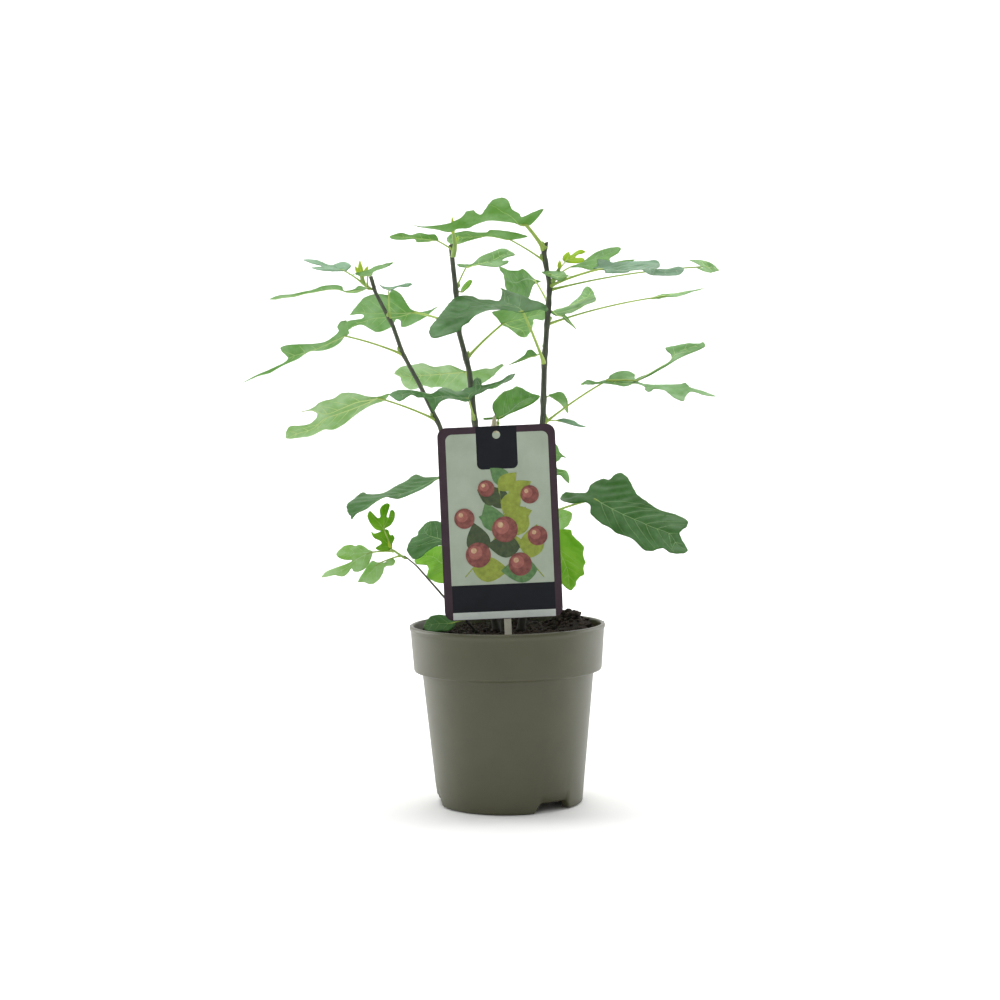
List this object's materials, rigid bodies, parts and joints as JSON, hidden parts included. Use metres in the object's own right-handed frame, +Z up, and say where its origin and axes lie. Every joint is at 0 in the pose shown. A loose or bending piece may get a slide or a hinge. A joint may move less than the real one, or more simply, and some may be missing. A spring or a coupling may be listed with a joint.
{
  "type": "fig tree in a pot",
  "caption": "Young fig tree with woody stems and broad lobed leaves, in a round tapered nursery pot of soil with an upright picture card.",
  "frame": {"origin": "middle of the whole plant's bounding box in plan, at the level of the pot's underside", "axes": "+Z up along the pot's axis, +X to the plant's right as seen from the card's printed side, +Y from that side to the back"},
  "size_m": [0.3204, 0.17, 0.3952],
  "materials": {
    "pot_plastic": "moulded, satin taupe",
    "potting_mix": "dark crumbly potting mix",
    "card_print": "printed plastic card",
    "stick_plastic": "plain moulded",
    "bark": "dark grey-brown bark, green near the tips",
    "leaf": "mid green, paler and veined beneath",
    "young_leaf": "fresh yellow-green"
  },
  "bodies": {
    "root": {"pot": "pot_plastic", "soil": "potting_mix", "label_card": "card_print", "label_stick": "stick_plastic", "stem_left": "bark", "stem_middle": "bark", "stem_right": "bark", "stem_back": "bark", "stem_low": "bark", "leaf_left_4": "leaf", "leaf_left_6": "leaf", "leaf_left_7": "leaf", "leaf_middle_3": "leaf", "leaf_middle_5": "leaf", "leaf_middle_8": "leaf", "leaf_middle_9": "leaf", "leaf_middle_1": "leaf", "leaf_middle_young": "leaf", "leaf_right_2": "leaf", "leaf_right_4": "leaf", "leaf_right_5": "leaf", "leaf_right_tip_1": "leaf", "leaf_right_tip_2": "leaf", "leaf_right_7": "leaf", "leaf_right_8": "leaf", "leaf_right_9": "leaf", "leaf_right_10": "leaf", "leaf_right_11": "leaf", "leaf_right_12": "leaf", "leaf_right_13": "leaf", "leaf_back_high": "leaf", "leaf_low_1": "leaf", "leaf_low_7": "leaf", "leaf_low_3": "leaf", "leaf_low_4": "leaf", "leaf_low_5": "leaf", "leaf_low_6": "leaf", "leaf_low_8": "leaf", "leaf_low_9": "leaf", "leaf_on_soil": "leaf", "leaf_back_1": "leaf", "leaf_back_2": "leaf", "leaf_back_3": "leaf", "leaf_back_4": "leaf", "leaf_back_5": "leaf", "leaf_back_6": "leaf", "leaf_back_7": "leaf", "left_tip_leaves": "young_leaf", "middle_tip_leaves": "young_leaf", "right_tip_leaves": "young_leaf", "low_tip_leaves": "young_leaf"}
  },
  "joints": []
}
